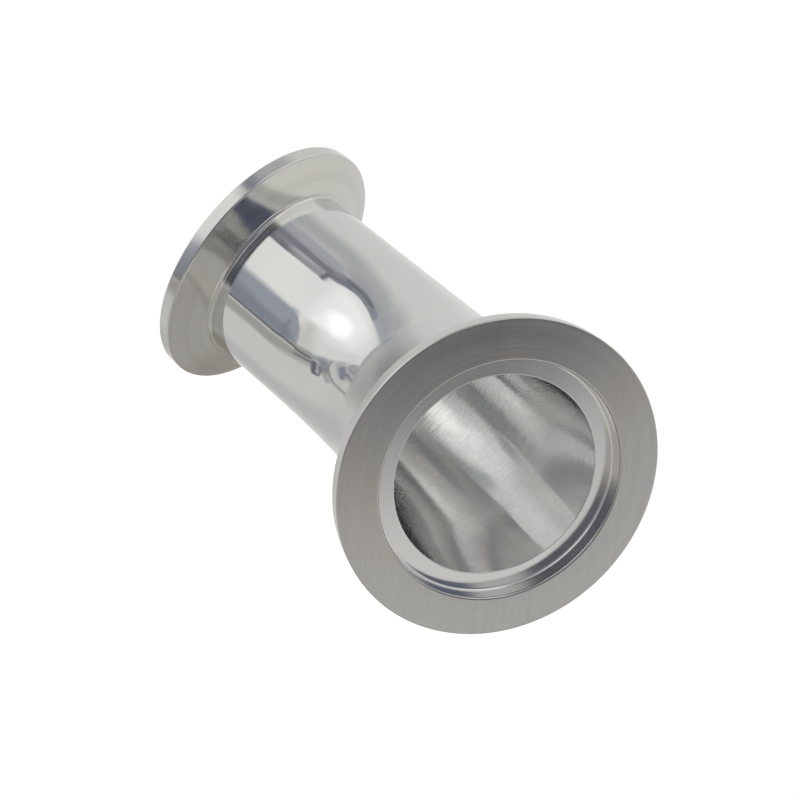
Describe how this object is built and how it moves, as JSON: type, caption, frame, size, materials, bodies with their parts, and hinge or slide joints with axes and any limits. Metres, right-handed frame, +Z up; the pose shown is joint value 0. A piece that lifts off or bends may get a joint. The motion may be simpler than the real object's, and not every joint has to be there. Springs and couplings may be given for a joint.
{
  "type": "forty-five degree vacuum elbow",
  "caption": "Polished stainless vacuum elbow: a tube bent by forty-five degrees between turned small flanges for a centring ring and a hinged clamp.",
  "frame": {"origin": "centre of the base flange's sealing face", "axes": "+Z up the base port's axis, towards the bend; the tube bends towards +X in the XZ plane; the part stands on the base flange's sealing face"},
  "size_m": [0.0778, 0.055, 0.0943],
  "materials": {
    "turned_steel": "fine turned and satin-polished stainless steel",
    "polished_steel": "mirror-polished stainless steel outside, satin inside"
  },
  "bodies": {
    "root": {"base_flange": "turned_steel", "elbow_tube": "polished_steel", "outlet_flange": "turned_steel"}
  },
  "joints": []
}
